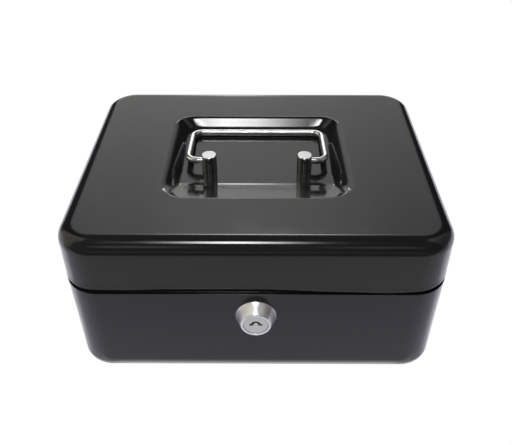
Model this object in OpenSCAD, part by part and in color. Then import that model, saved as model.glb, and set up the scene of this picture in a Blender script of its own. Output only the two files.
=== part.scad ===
// Steel cash box with a lift-up lid, a folding bail handle in a pressed recess,
// a cam lock in the front wall and a lift-out coin tray.
// Origin: centre of the underside. +X to the right, +Y to the rear, +Z up. Millimetres.

/* [Box] */
// Width of the closed box, across the front
body_w = 200; // [170:1:300]
// Depth of the closed box, front to rear
body_d = 160; // [140:1:240]
// Height of the closed box, underside to lid top
body_h = 90; // [84:1:120]
// Plan radius of the box's upright corners
corner_r = 19.2; // [15:0.1:25]
// Thickness of the steel sheet
sheet_t = 0.8; // [0.6:0.1:1.2]
// Radius along the bottom edge of the base
base_edge_r = 3; // [1.5:0.5:6]
// Distance that the base's wall stands in from the lid's wall
base_inset = 0.1; // [0.1:0.1:0.8]

/* [Lid] */
// Height of the lid, rim to top
lid_h = 29.8; // [26:0.1:36]
// Radius along the top edge of the lid
lid_edge_r = 8; // [5:0.5:11]
// Open seam between the lid's rim and the base's shoulder
seam_gap = 2.5; // [1.5:0.1:4]
// Height of the base's upstand above its shoulder
upstand_h = 8.3; // [6:0.1:10]
// Clearance between the lid's wall and the upstand
lid_clear = 0.5; // [0.4:0.1:1]

/* [Handle recess] */
// Width of the recess at the lid's top
recess_w = 100; // [80:1:130]
// Depth of the recess from front to rear, at the lid's top
recess_d = 86; // [76:1:110]
// Distance from the lid's top down to the recess floor
recess_depth = 6; // [5:0.5:7]
// Plan radius of the recess's corners at the lid's top
recess_corner_r = 9; // [6:0.5:12]
// Run of the side walls, top to floor
recess_side_run = 6.5; // [4:0.5:9]
// Run of the rear wall, top to floor
recess_rear_run = 6; // [4:0.5:8]
// Run of the shallow finger ramp at the front
recess_ramp_run = 22.5; // [16:0.5:28]
// Plan radius of the floor's corners
recess_floor_r = 5; // [3:0.5:8]

/* [Handle] */
// Distance between the two posts
post_spacing = 54; // [46:0.5:64]
// Diameter of a post
post_d = 8.4; // [7:0.1:10]
// Height of a post above the recess floor
post_h = 9.9; // [7.5:0.1:11]
// Place of the posts, front (minus) or rear (plus) of the box's middle
post_y = -6.9; // [-10:0.1:0]
// Diameter of the post's rivet shank
post_shank_d = 5; // [4:0.1:6]
// Diameter of the bail's wire
wire_d = 3.8; // [3:0.1:4.2]
// Distance between the bail's legs, centre to centre
bail_w = 78.6; // [72:0.1:84]
// Distance from the bail's pivot to its grip, centre to centre
bail_reach = 37.3; // [30:0.1:39]
// Bend radius of the wire's centre line
bail_bend_r = 6; // [5:0.5:8]
// Height of the bail's pivot above the recess floor
pivot_h = 6; // [5:0.1:6.5]
// Length of wire inside each post
bail_end_l = 4.5; // [3:0.1:5]
// Radial clearance of the wire in its post
bail_clear = 0.08; // [0.05:0.01:0.1]
// Height that the folded grip lies clear of the floor
bail_rest_gap = 0.3; // [0.2:0.1:1]

/* [Lock] */
// Distance of the lock's axis below the base's shoulder
lock_drop = 16.5; // [14:0.1:18]
// Diameter of the lock's conical head at the wall
bezel_base_d = 21.5; // [20:0.5:26]
// Diameter of the lock's conical head at its face
bezel_face_d = 16; // [15:0.5:18]
// Height of the conical head
bezel_h = 6.8; // [6:0.1:10]
// Diameter of the threaded barrel
barrel_d = 16; // [15:0.5:18]
// Length of the barrel behind the wall's outer face
barrel_l = 13.6; // [12:0.1:15]
// Clearance of the barrel in the wall's hole
barrel_clear = 0.1; // [0.05:0.05:0.3]
// Diameter of the turning plug's head
plug_head_d = 13; // [12:0.1:13.4]
// Length of the plug's head
plug_head_l = 3; // [2:0.5:4]
// Diameter of the plug's body
plug_body_d = 11.6; // [10.6:0.1:12]
// Radial and end clearance of the plug in the housing
plug_clear = 0.08; // [0.05:0.01:0.1]
// Depth that the plug's face lies behind the housing's face
plug_set_back = 0.3; // [0.1:0.1:0.8]
// Width of the keyway, across its two flat wings
keyway_w = 7; // [6.6:0.1:7.2]
// Thickness of the keyway's slot
keyway_t = 1.3; // [1:0.1:1.4]
// Radius of the keyway's arch, on its middle line
keyway_arch_r = 1.9; // [1.7:0.1:2]
// Height of the keyway's wings above the lock's axis
keyway_y = 0.3; // [0:0.1:0.4]
// Depth of the keyway
keyway_depth = 17; // [14:0.5:18]
// Number of wafers in the plug
wafer_count = 5; // [4:1:5]
// Distance from one wafer to the next
wafer_pitch = 2.2; // [1.8:0.1:2.4]
// Thickness of a wafer
wafer_t = 0.9; // [0.6:0.1:1]
// Length of the cam from the lock's axis to its tip
cam_l = 18; // [16:0.5:20]
// Width of the cam
cam_w = 8; // [7.5:0.5:9]
// Thickness of the cam
cam_t = 1.5; // [1.2:0.1:2]
// Across flats of the hexagonal lock nut
nut_flats = 21; // [19:0.5:24]
// Height of the lock nut
nut_h = 3.2; // [2.5:0.1:4]

/* [Keeper] */
// Width of the keeper that the cam locks
keeper_w = 9; // [7:0.5:10]
// Distance of the keeper's middle from the lock's axis
keeper_x = 15; // [15:0.5:17]
// Thickness of the keeper's strip
keeper_t = 1.2; // [1:0.1:1.6]
// Gap between the cam and the keeper
keeper_gap = 0.9; // [0.5:0.1:1.5]

/* [Hinges] */
// Distance of each hinge's middle from the box's end
hinge_inset = 40; // [38:1:50]
// Width of one hinge
hinge_w = 34; // [28:1:40]
// Outer diameter of a hinge knuckle
knuckle_d = 4.4; // [4:0.1:5]
// Diameter of the hinge pin
pin_d = 2; // [1.8:0.1:2.4]
// Radial clearance of the pin in its knuckles
pin_clear = 0.06; // [0.03:0.01:0.1]
// Thickness of a hinge leaf
leaf_t = 1; // [0.8:0.1:1.2]
// Height of a hinge leaf
leaf_h = 15; // [14:0.5:18]
// Diameter of a rivet's shank
rivet_d = 3; // [2.5:0.1:3.5]

/* [Coin tray] */
// Depth of the tray from its flange to its underside
tray_h = 27; // [20:1:29]
// Thickness of the tray's walls and floor
tray_t = 1.6; // [1.2:0.1:2]
// Gap between the tray's wall and the upstand
tray_gap = 1; // [0.8:0.1:2]
// Width of the notch that clears the lock and keeper
notch_w = 50; // [44:1:60]
// Radius along the bottom edge of a cup
cup_edge_r = 5; // [3:0.5:7]

/* [Hidden] */
$fn = 96;
hull_fn = 32;
through = 1;

black_paint = [0.03, 0.03, 0.035];
chrome = [0.82, 0.83, 0.85];
zinc = [0.62, 0.64, 0.66];
brass = [0.78, 0.62, 0.3];
black_plastic = [0.06, 0.06, 0.06];

// Heights of the seam
rim_z = body_h - lid_h;
shoulder_z = rim_z - seam_gap;
upstand_top_z = shoulder_z + upstand_h;
// Plan insets from the box's outline
upstand_inset = sheet_t + lid_clear;
upstand_inner_inset = upstand_inset + sheet_t;
wall_face_y = -(body_d / 2 - base_inset);
lock_z = shoulder_z - lock_drop;
hinge_spacing = body_w - 2 * hinge_inset;
// Recess
floor_z = body_h - recess_depth;
floor_w = recess_w - 2 * recess_side_run;
floor_front_y = -recess_d / 2 + recess_ramp_run;
floor_rear_y = recess_d / 2 - recess_rear_run;
pan_slab = 0.2;
// Bail
pivot_z = floor_z + pivot_h;
bail_drop = pivot_h - wire_d / 2 - bail_rest_gap;
bail_tilt = asin(bail_drop / bail_reach);
bail_end_x = post_spacing / 2 + post_d / 2 - bail_end_l;
post_hole_extra = 0.5;
post_chamfer = 0.4;
post_washer_t = 0.8;
post_washer_d = 9;
post_shank_clear = 0.05;
post_peen_h = 0.8;
post_peen_d = 7;
// Lock, measured outwards from the base's front face along the lock's axis
housing_bore_r = plug_body_d / 2 + plug_clear;
washer_t = 0.8;
nut_clear = 0.05;
bezel_chamfer = 0.6;
plug_face = bezel_h - plug_set_back;
plug_shoulder = plug_face - plug_head_l;
plug_overhang = 1.4;
plug_end = -(barrel_l + plug_overhang);
plug_mouth_chamfer = 0.35;
keyway_mid_y = keyway_y + keyway_arch_r / 2;
wafer_clear = 0.05;
key_play = 0.4;
wafer_web = 0.6;
wafer_window_w = keyway_w + key_play;
wafer_window_h = keyway_t + keyway_arch_r + key_play;
wafer_l = wafer_window_w + 2 * wafer_web;
wafer_h = wafer_window_h + 2 * wafer_web;
wafer_tab_w = 0.7;
wafer_tab_h = 1.6;
first_wafer_depth = 2;
first_wafer = plug_shoulder - first_wafer_depth;
spring_l = 3;
spring_wall = 0.15;
tail_side = 6;
tail_clear = 0.05;
tail_stub = 0.3;
cam_boss_d = 12;
cam_front = plug_end;
cam_back = cam_front - cam_t;
cam_washer_d = 10;
screw_d = 3;
screw_head_d = 7;
screw_head_h = 2;
screw_slot_w = 1;
screw_slot_l = 4.9;
screw_l = 8;
// Keeper
keeper_leg_y = wall_face_y - cam_front - keeper_gap - keeper_t;
keeper_arm_clear = 3;
keeper_arm_z = upstand_top_z + keeper_arm_clear;
keeper_tongue_z = lock_z - cam_w / 2 - keeper_gap - keeper_t;
keeper_flange_clear = 1;
keeper_flange_top_z = body_h - lid_edge_r - keeper_flange_clear;
keeper_tongue_l = keeper_gap + 2 * keeper_t + cam_t;
// Hinge
knuckle_stand_off = 0.1;
hinge_y = body_d / 2 + knuckle_d / 2 + knuckle_stand_off;
hinge_z = (rim_z + shoulder_z) / 2;
knuckle_gap = 0.3;
leaf_play = 0.4;
leaf_clear = knuckle_d / 2 + leaf_play;
leaf_corner_r = 2;
knuckle_end_share = 0.3;
knuckle_end_w = hinge_w * knuckle_end_share;
knuckle_mid_w = hinge_w - 2 * knuckle_end_w - 2 * knuckle_gap;
pin_head_d = 3.4;
pin_head_h = 0.6;
rivet_inset_x = 7;
rivet_edge = 5;
rivet_drop = leaf_h - rivet_edge;
rivet_head_d = 5;
rivet_head_h = 1.1;
rivet_tail_h = 0.5;
rivet_clear = 0.05;
// Tray
tray_rest_gap = 0.1;
flange_t = 1.2;
flange_step = 0.3;
flange_inset = upstand_inset + flange_step;
tray_inset = upstand_inner_inset + tray_gap;
cup_inset = tray_inset + tray_t;
tray_top_z = upstand_top_z + tray_rest_gap + flange_t;
tray_bottom_z = tray_top_z - tray_h;
notch_clear = 6.2;
notch_rear_y = wall_face_y - cam_back + tail_stub + washer_t + screw_head_h + notch_clear;
cup_split_y = 4;

// ---------- shared shapes ----------

// Rounded rectangle, set in from the box's outline
module plan(inset) {
    w = body_w - 2 * inset;
    d = body_d - 2 * inset;
    rounded_rect(w, d, corner_r - inset);
}

module rounded_rect(w, d, r) {
    square([w - 2 * r, d], center = true);
    square([w, d - 2 * r], center = true);
    for (sx = [-1, 1], sy = [-1, 1])
        translate([sx * (w / 2 - r), sy * (d / 2 - r)]) circle(r = r);
}

// Half section of a rounded block: its outer top corner has the edge radius
module edge_profile(reach, h, edge_r) {
    square([reach - edge_r, h]);
    square([reach, h - edge_r]);
    translate([reach - edge_r, h - edge_r]) circle(r = edge_r);
}

// Block with rounded upright corners and a rounded top edge, standing on z = 0
module soft_block(w, d, h, r, edge_r) {
    run_x = w - 2 * r;
    run_y = d - 2 * r;
    translate([-run_x / 2, -run_y / 2, 0]) cube([run_x, run_y, h]);
    for (turn = [0, 180]) rotate([0, 0, turn]) {
        translate([0, run_y / 2, 0]) rotate([90, 0, 90])
            linear_extrude(run_x, center = true) edge_profile(r, h, edge_r);
        translate([run_x / 2, 0, 0]) rotate([90, 0, 0])
            linear_extrude(run_y, center = true) edge_profile(r, h, edge_r);
        translate([run_x / 2, run_y / 2, 0]) rotate_extrude(angle = 90) edge_profile(r, h, edge_r);
        translate([-run_x / 2, run_y / 2, 0]) rotate([0, 0, 90])
            rotate_extrude(angle = 90) edge_profile(r, h, edge_r);
    }
}

// Same block upside down: rounded bottom edge on z = 0
module soft_pan(w, d, h, r, edge_r) {
    translate([0, 0, h]) mirror([0, 0, 1]) soft_block(w, d, h, r, edge_r);
}

module ring(outer_r, inner_r, h) {
    difference() {
        cylinder(r = outer_r, h = h);
        translate([0, 0, -through]) cylinder(r = inner_r, h = h + 2 * through);
    }
}

// ---------- base ----------

module base_shell() {
    color(black_paint) difference() {
        union() {
            soft_pan(body_w - 2 * base_inset, body_d - 2 * base_inset, shoulder_z,
                corner_r - base_inset, base_edge_r);
            translate([0, 0, shoulder_z]) linear_extrude(upstand_h) plan(upstand_inset);
        }
        base_wall = base_inset + sheet_t;
        translate([0, 0, sheet_t]) soft_pan(body_w - 2 * base_wall, body_d - 2 * base_wall,
            shoulder_z - 2 * sheet_t, corner_r - base_wall, base_edge_r - sheet_t);
        translate([0, 0, shoulder_z - 2 * sheet_t])
            linear_extrude(upstand_h + 2 * sheet_t + through) plan(upstand_inner_inset);
        at_lock() translate([0, 0, -sheet_t - through])
            cylinder(d = barrel_d + 2 * barrel_clear, h = sheet_t + 2 * through);
        for (side = [-1, 1]) at_rivets(side, -1, -wall_face_y)
            rivet_hole();
    }
}

// ---------- hinges ----------

// Places children at the two rivets of a leaf: local z points out of the rear wall.
// side is -1 for the left hinge, up is 1 for the lid's leaf and -1 for the base's leaf.
module at_rivets(side, up, wall_y) {
    for (sx = [-1, 1])
        translate([side * hinge_spacing / 2 + sx * (hinge_w / 2 - rivet_inset_x), wall_y,
            hinge_z + up * (leaf_clear + rivet_drop)])
            rotate([-90, 0, 0]) children();
}

module rivet_hole() {
    translate([0, 0, -sheet_t - through])
        cylinder(d = rivet_d + 2 * rivet_clear, h = sheet_t + leaf_t + 2 * through);
}

module dome(d, h) {
    ball_r = (pow(d / 2, 2) + pow(h, 2)) / (2 * h);
    rotate_extrude() intersection() {
        translate([0, h - ball_r]) circle(r = ball_r);
        square([d, h]);
    }
}

module rivet() {
    translate([0, 0, leaf_t]) dome(rivet_head_d, rivet_head_h);
    translate([0, 0, -sheet_t]) cylinder(d = rivet_d, h = sheet_t + leaf_t);
    translate([0, 0, -sheet_t]) mirror([0, 0, 1]) cylinder(d = rivet_head_d, h = rivet_tail_h);
}

module knuckle(x_from, w) {
    translate([x_from, hinge_y, hinge_z]) rotate([0, 90, 0]) cylinder(d = knuckle_d, h = w);
}

module knuckle_web(x_from, w, up, wall_y) {
    z_from = up > 0 ? hinge_z : hinge_z - leaf_clear - leaf_corner_r;
    translate([x_from, wall_y, z_from]) cube([w, leaf_t, leaf_clear + leaf_corner_r]);
}

// One leaf: a riveted plate with its share of the knuckles
module hinge_leaf(side, up, wall_y) {
    mid = side * hinge_spacing / 2;
    starts = up > 0 ? [-knuckle_mid_w / 2] : [-hinge_w / 2, hinge_w / 2 - knuckle_end_w];
    w = up > 0 ? knuckle_mid_w : knuckle_end_w;
    color(black_paint) difference() {
        union() {
            translate([mid, wall_y, hinge_z + up * (leaf_clear + leaf_h / 2)]) rotate([-90, 0, 0])
                linear_extrude(leaf_t) rounded_rect(hinge_w, leaf_h, leaf_corner_r);
            for (x = starts) {
                knuckle(mid + x, w);
                knuckle_web(mid + x, w, up, wall_y);
            }
        }
        translate([mid - hinge_w, hinge_y, hinge_z]) rotate([0, 90, 0])
            cylinder(d = pin_d + 2 * pin_clear, h = 2 * hinge_w);
        at_rivets(side, up, wall_y) rivet_hole();
    }
}

module hinge_pin(side) {
    pin_l = hinge_w + 2 * pin_clear;
    color(zinc) translate([side * hinge_spacing / 2 - pin_l / 2, hinge_y, hinge_z])
        rotate([0, 90, 0]) {
            cylinder(d = pin_d, h = pin_l);
            translate([0, 0, -pin_head_h]) cylinder(d = pin_head_d, h = pin_head_h);
            translate([0, 0, pin_l]) cylinder(d = pin_head_d, h = pin_head_h);
        }
}

module hinge_base_leaf_left() hinge_leaf(-1, -1, -wall_face_y);
module hinge_base_leaf_right() hinge_leaf(1, -1, -wall_face_y);
module hinge_lid_leaf_left() hinge_leaf(-1, 1, body_d / 2);
module hinge_lid_leaf_right() hinge_leaf(1, 1, body_d / 2);
module hinge_pin_left() hinge_pin(-1);
module hinge_pin_right() hinge_pin(1);

module hinge_base_rivets() {
    color(black_paint) for (side = [-1, 1]) at_rivets(side, -1, -wall_face_y) rivet();
}

module hinge_lid_rivets() {
    color(black_paint) for (side = [-1, 1]) at_rivets(side, 1, body_d / 2) rivet();
}

// ---------- lock ----------

// Places children on the lock's axis: local z = 0 on the wall's outer face, +z outwards
module at_lock() {
    translate([0, wall_face_y, lock_z]) rotate([90, 0, 0]) children();
}

module lock_housing() {
    color(chrome) at_lock() difference() {
        union() {
            cylinder(d1 = bezel_base_d, d2 = bezel_face_d, h = bezel_h - bezel_chamfer);
            translate([0, 0, bezel_h - bezel_chamfer])
                cylinder(d1 = bezel_face_d, d2 = bezel_face_d - bezel_chamfer, h = bezel_chamfer);
            translate([0, 0, -barrel_l]) cylinder(d = barrel_d, h = barrel_l);
        }
        translate([0, 0, -barrel_l - through])
            cylinder(r = housing_bore_r, h = barrel_l + bezel_h + 2 * through);
        translate([0, 0, plug_shoulder - plug_clear])
            cylinder(d = plug_head_d + 2 * plug_clear, h = bezel_h);
    }
}

module lock_washer() {
    color(zinc) at_lock() translate([0, 0, -sheet_t - washer_t])
        ring(nut_flats / 2, barrel_d / 2 + barrel_clear, washer_t);
}

module lock_nut() {
    color(zinc) at_lock() translate([0, 0, -sheet_t - washer_t - nut_h]) difference() {
        cylinder(d = nut_flats / cos(30), h = nut_h, $fn = 6);
        translate([0, 0, -through]) cylinder(d = barrel_d + 2 * nut_clear, h = nut_h + 2 * through);
    }
}

// Arched slot with a flat wing at each foot, its wings above the lock's axis
module keyway_outline() {
    inner_r = keyway_arch_r - keyway_t / 2;
    outer_r = keyway_arch_r + keyway_t / 2;
    wing_l = (keyway_w - keyway_t) / 2 - inner_r;
    translate([0, keyway_y]) {
        difference() {
            intersection() {
                circle(r = outer_r);
                translate([-outer_r, 0]) square([2 * outer_r, outer_r]);
            }
            circle(r = inner_r);
        }
        for (side = [0, 1]) mirror([side, 0]) translate([inner_r, 0]) {
            translate([0, -keyway_t / 2]) square([wing_l, keyway_t]);
            translate([wing_l, 0]) circle(d = keyway_t);
        }
    }
}

function wafer_place(i) = first_wafer - i * wafer_pitch - wafer_t;

module wafer_slot(i) {
    slot_t = wafer_t + 2 * wafer_clear;
    tab_reach = wafer_h / 2 + wafer_tab_h + wafer_clear;
    translate([0, keyway_mid_y, wafer_place(i) - wafer_clear]) {
        translate([-plug_body_d, -wafer_h / 2 - wafer_clear, 0])
            cube([2 * plug_body_d, wafer_h + 2 * wafer_clear, slot_t]);
        translate([-spring_l / 2 - wafer_tab_w - wafer_clear, -tab_reach, 0])
            cube([spring_l + wafer_tab_w + 2 * wafer_clear, tab_reach, slot_t]);
    }
}

module lock_plug() {
    color(zinc) at_lock() {
        difference() {
            union() {
                translate([0, 0, plug_end]) cylinder(d = plug_body_d, h = plug_shoulder - plug_end);
                translate([0, 0, plug_shoulder])
                    cylinder(d = plug_head_d, h = plug_head_l - plug_mouth_chamfer);
                translate([0, 0, plug_face - plug_mouth_chamfer])
                    cylinder(d1 = plug_head_d, d2 = plug_head_d - 2 * plug_mouth_chamfer,
                        h = plug_mouth_chamfer);
                translate([-tail_side / 2, -tail_side / 2, cam_back - tail_stub])
                    cube([tail_side, tail_side, cam_t + tail_stub + through]);
            }
            translate([0, 0, plug_face - keyway_depth])
                linear_extrude(keyway_depth + through) keyway_outline();
            for (i = [0 : wafer_count - 1]) wafer_slot(i);
            translate([0, 0, cam_back - tail_stub - through])
                cylinder(d = screw_d + 2 * tail_clear, h = screw_l + through);
        }
    }
}

module lock_wafers() {
    color(brass) at_lock() for (i = [0 : wafer_count - 1])
        translate([0, keyway_mid_y, wafer_place(i)]) linear_extrude(wafer_t) difference() {
            intersection() {
                wafer_outline();
                translate([0, -keyway_mid_y]) circle(d = plug_body_d - 2 * wafer_clear);
            }
            square([wafer_window_w, wafer_window_h], center = true);
        }
}

module wafer_outline() {
    square([wafer_l, wafer_h], center = true);
    translate([-spring_l / 2 - wafer_tab_w, -wafer_h / 2 - wafer_tab_h])
        square([wafer_tab_w, wafer_h / 2 + wafer_tab_h]);
}

module wafer_springs() {
    color(brass) at_lock() for (i = [0 : wafer_count - 1])
        translate([-spring_l / 2, keyway_mid_y - (wafer_h + wafer_tab_h) / 2,
            wafer_place(i) + wafer_t / 2]) rotate([0, 90, 0])
            ring(wafer_t / 2, wafer_t / 2 - spring_wall, spring_l);
}

// At rest the cam points up, clear of the keeper; a quarter turn lays it over the tongue
module lock_cam() {
    color(zinc) at_lock() translate([0, 0, cam_back]) linear_extrude(cam_t) difference() {
        union() {
            circle(d = cam_boss_d);
            translate([-cam_w / 2, 0]) square([cam_w, cam_l - cam_w / 2]);
            translate([0, cam_l - cam_w / 2]) circle(d = cam_w);
        }
        square(tail_side + 2 * tail_clear, center = true);
    }
}

module cam_washer() {
    color(zinc) at_lock() translate([0, 0, cam_back - tail_stub - washer_t])
        ring(cam_washer_d / 2, screw_d / 2 + tail_clear, washer_t);
}

module cam_screw() {
    head_top = cam_back - tail_stub - washer_t;
    color(chrome) at_lock() difference() {
        union() {
            translate([0, 0, head_top]) cylinder(d = screw_d, h = screw_l - through);
            translate([0, 0, head_top - screw_head_h]) cylinder(d = screw_head_d, h = screw_head_h);
        }
        for (turn = [0, 90]) rotate(turn)
            translate([-screw_slot_l / 2, -screw_slot_w / 2, head_top - screw_head_h - through])
                cube([screw_slot_l, screw_slot_w, through + screw_head_h / 2]);
    }
}

// ---------- lid ----------

// Room of the pressed recess, from its rim at the lid's top down to its floor, grown all round
module pan_hull(grow) {
    floor_d = floor_rear_y - floor_front_y;
    hull() {
        translate([0, 0, body_h - grow]) pan_outline(recess_w, recess_d, recess_corner_r, grow);
        translate([0, (floor_rear_y + floor_front_y) / 2, floor_z - grow])
            pan_outline(floor_w, floor_d, recess_floor_r, grow);
    }
}

module pan_outline(w, d, r, grow) {
    linear_extrude(pan_slab) rounded_rect(w + 2 * grow, d + 2 * grow, r + grow, $fn = hull_fn);
}

// The lid's walls, rounded edge and top, open where the recess is set in
module lid_shell() {
    color(black_paint) difference() {
        translate([0, 0, rim_z]) soft_block(body_w, body_d, lid_h, corner_r, lid_edge_r);
        translate([0, 0, rim_z - through]) soft_block(body_w - 2 * sheet_t, body_d - 2 * sheet_t,
            lid_h - sheet_t + through, corner_r - sheet_t, lid_edge_r - sheet_t);
        pan_hull(sheet_t);
        pan_hull(0);
        for (side = [-1, 1]) at_rivets(side, 1, body_d / 2) rivet_hole();
    }
}

// The recess's floor and sloping walls, up to the lid's top
module handle_recess() {
    color(black_paint) difference() {
        pan_hull(sheet_t);
        pan_hull(0);
        for (side = [-1, 1]) at_post(side) translate([0, 0, -sheet_t - through])
            cylinder(d = post_shank_d + 2 * post_shank_clear, h = sheet_t + 2 * through);
    }
}

module lock_keeper() {
    skirt_y = -body_d / 2 + sheet_t;
    color(zinc) translate([keeper_x - keeper_w / 2, 0, 0]) {
        translate([0, skirt_y, keeper_arm_z])
            cube([keeper_w, keeper_t, keeper_flange_top_z - keeper_arm_z]);
        translate([0, skirt_y, keeper_arm_z])
            cube([keeper_w, keeper_leg_y + keeper_t - skirt_y, keeper_t]);
        translate([0, keeper_leg_y, keeper_tongue_z])
            cube([keeper_w, keeper_t, keeper_arm_z + keeper_t - keeper_tongue_z]);
        translate([0, keeper_leg_y, keeper_tongue_z])
            cube([keeper_w, keeper_tongue_l + keeper_t, keeper_t]);
    }
}

// ---------- handle ----------

// Places children on a post's axis: local z = 0 on the recess floor
module at_post(side) {
    translate([side * post_spacing / 2, post_y, floor_z]) children();
}

module handle_post(side) {
    color(chrome) difference() {
        at_post(side) {
            cylinder(d = post_d, h = post_h - post_chamfer);
            translate([0, 0, post_h - post_chamfer])
                cylinder(d1 = post_d, d2 = post_d - 2 * post_chamfer, h = post_chamfer);
            translate([0, 0, -sheet_t - post_washer_t]) {
                cylinder(d = post_shank_d, h = sheet_t + post_washer_t);
                mirror([0, 0, 1]) dome(post_peen_d, post_peen_h);
            }
        }
        translate([side * (bail_end_x - post_hole_extra), post_y, pivot_z]) rotate([0, side * 90, 0])
            cylinder(d = wire_d + 2 * bail_clear, h = post_d);
    }
}

module post_washer(side) {
    color(zinc) at_post(side) translate([0, 0, -sheet_t - post_washer_t])
        ring(post_washer_d / 2, post_shank_d / 2 + post_shank_clear, post_washer_t);
}

module handle_post_left() handle_post(-1);
module handle_post_right() handle_post(1);
module post_washer_left() post_washer(-1);
module post_washer_right() post_washer(1);

module bend(turn) {
    rotate([0, 0, turn]) rotate_extrude(angle = 90) translate([bail_bend_r, 0]) circle(d = wire_d);
}

// Right half of the bail in its own plane: pivot axis along x, grip at y = bail_reach
module bail_half() {
    leg_x = bail_w / 2;
    end_run = leg_x - bail_bend_r - bail_end_x;
    leg_run = bail_reach - 2 * bail_bend_r;
    translate([bail_end_x, 0, 0]) rotate([0, 90, 0]) cylinder(d = wire_d, h = end_run);
    translate([leg_x - bail_bend_r, bail_bend_r, 0]) bend(-90);
    translate([leg_x, bail_bend_r, 0]) rotate([-90, 0, 0]) cylinder(d = wire_d, h = leg_run);
    translate([leg_x - bail_bend_r, bail_reach - bail_bend_r, 0]) bend(0);
    translate([0, bail_reach, 0]) rotate([0, 90, 0]) cylinder(d = wire_d, h = leg_x - bail_bend_r);
}

module bail_handle() {
    color(chrome) translate([0, post_y, pivot_z]) rotate([-bail_tilt, 0, 0]) {
        bail_half();
        mirror([1, 0, 0]) bail_half();
    }
}

// ---------- coin tray ----------

module cup(x_from, x_to, y_from, y_to) {
    translate([(x_from + x_to) / 2, (y_from + y_to) / 2, tray_bottom_z + tray_t])
        soft_pan(x_to - x_from, y_to - y_from, tray_h, corner_r - cup_inset, cup_edge_r);
}

module coin_tray() {
    side_x = body_w / 2 - cup_inset;
    end_y = body_d / 2 - cup_inset;
    color(black_plastic) difference() {
        union() {
            translate([0, 0, tray_bottom_z]) linear_extrude(tray_h) plan(tray_inset);
            translate([0, 0, tray_top_z - flange_t]) linear_extrude(flange_t) plan(flange_inset);
        }
        translate([-notch_w / 2, -body_d, tray_bottom_z - through])
            cube([notch_w, body_d + notch_rear_y, tray_h + 2 * through]);
        for (side = [0, 1]) mirror([side, 0, 0]) {
            cup(tray_t / 2, side_x, cup_split_y + tray_t, end_y);
            cup(notch_w / 2 + tray_t, side_x, -end_y, cup_split_y);
        }
        cup(-notch_w / 2, notch_w / 2, notch_rear_y + tray_t, cup_split_y);
    }
}

base_shell();
hinge_base_leaf_left();
hinge_base_leaf_right();
hinge_base_rivets();
hinge_pin_left();
hinge_pin_right();
lock_housing();
lock_washer();
lock_nut();
lock_plug();
lock_wafers();
wafer_springs();
lock_cam();
cam_washer();
cam_screw();
lid_shell();
handle_recess();
handle_post_left();
handle_post_right();
post_washer_left();
post_washer_right();
lock_keeper();
hinge_lid_leaf_left();
hinge_lid_leaf_right();
hinge_lid_rivets();
bail_handle();
coin_tray();
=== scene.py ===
"""Dresses the steel cash box: pressed and enamelled shells, chromed handle and lock, tray and studio."""
from __future__ import annotations

import logging
import math
from collections.abc import Sequence
from dataclasses import dataclass
from enum import Enum
from typing import Any

import bmesh
import bpy
from mathutils import Matrix, Vector


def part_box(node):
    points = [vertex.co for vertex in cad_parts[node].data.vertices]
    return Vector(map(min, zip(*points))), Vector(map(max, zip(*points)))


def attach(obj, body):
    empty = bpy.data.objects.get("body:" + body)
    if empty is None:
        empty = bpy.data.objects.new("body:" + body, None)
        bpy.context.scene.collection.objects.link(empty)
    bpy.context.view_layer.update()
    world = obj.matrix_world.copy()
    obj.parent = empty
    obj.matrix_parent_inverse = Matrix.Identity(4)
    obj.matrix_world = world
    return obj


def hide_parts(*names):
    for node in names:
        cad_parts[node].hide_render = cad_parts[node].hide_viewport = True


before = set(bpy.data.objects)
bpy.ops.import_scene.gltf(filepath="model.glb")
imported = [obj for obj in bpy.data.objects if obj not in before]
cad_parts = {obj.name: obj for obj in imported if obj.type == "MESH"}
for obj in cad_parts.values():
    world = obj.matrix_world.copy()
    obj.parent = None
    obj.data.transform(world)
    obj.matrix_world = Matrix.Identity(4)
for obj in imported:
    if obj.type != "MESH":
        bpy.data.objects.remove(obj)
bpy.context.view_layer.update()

log = logging.getLogger("cash_box")

MM = 0.001
SHARP_ANGLE = math.radians(32)
# Thickness of the steel sheet and of the bail's wire, in millimetres.
SHEET = 0.8
WIRE = 3.8

Pair = tuple[float, float]
Triple = tuple[float, float, float]
Stops = Sequence[tuple[float, Sequence[float]]]


class Body(Enum):
    """The rigid bodies that the new pieces ride on."""

    BASE = "base"
    LID = "lid"
    BAIL = "bail"


class Slot(Enum):
    """Material slots; each finish carries one."""

    ENAMEL = "black_enamel"
    CHROME = "bright_chrome"
    NICKEL = "satin_nickel"
    ZINC = "zinc_plate"
    BRASS = "brass"
    PLASTIC = "black_plastic"


# ---- shader graph


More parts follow.
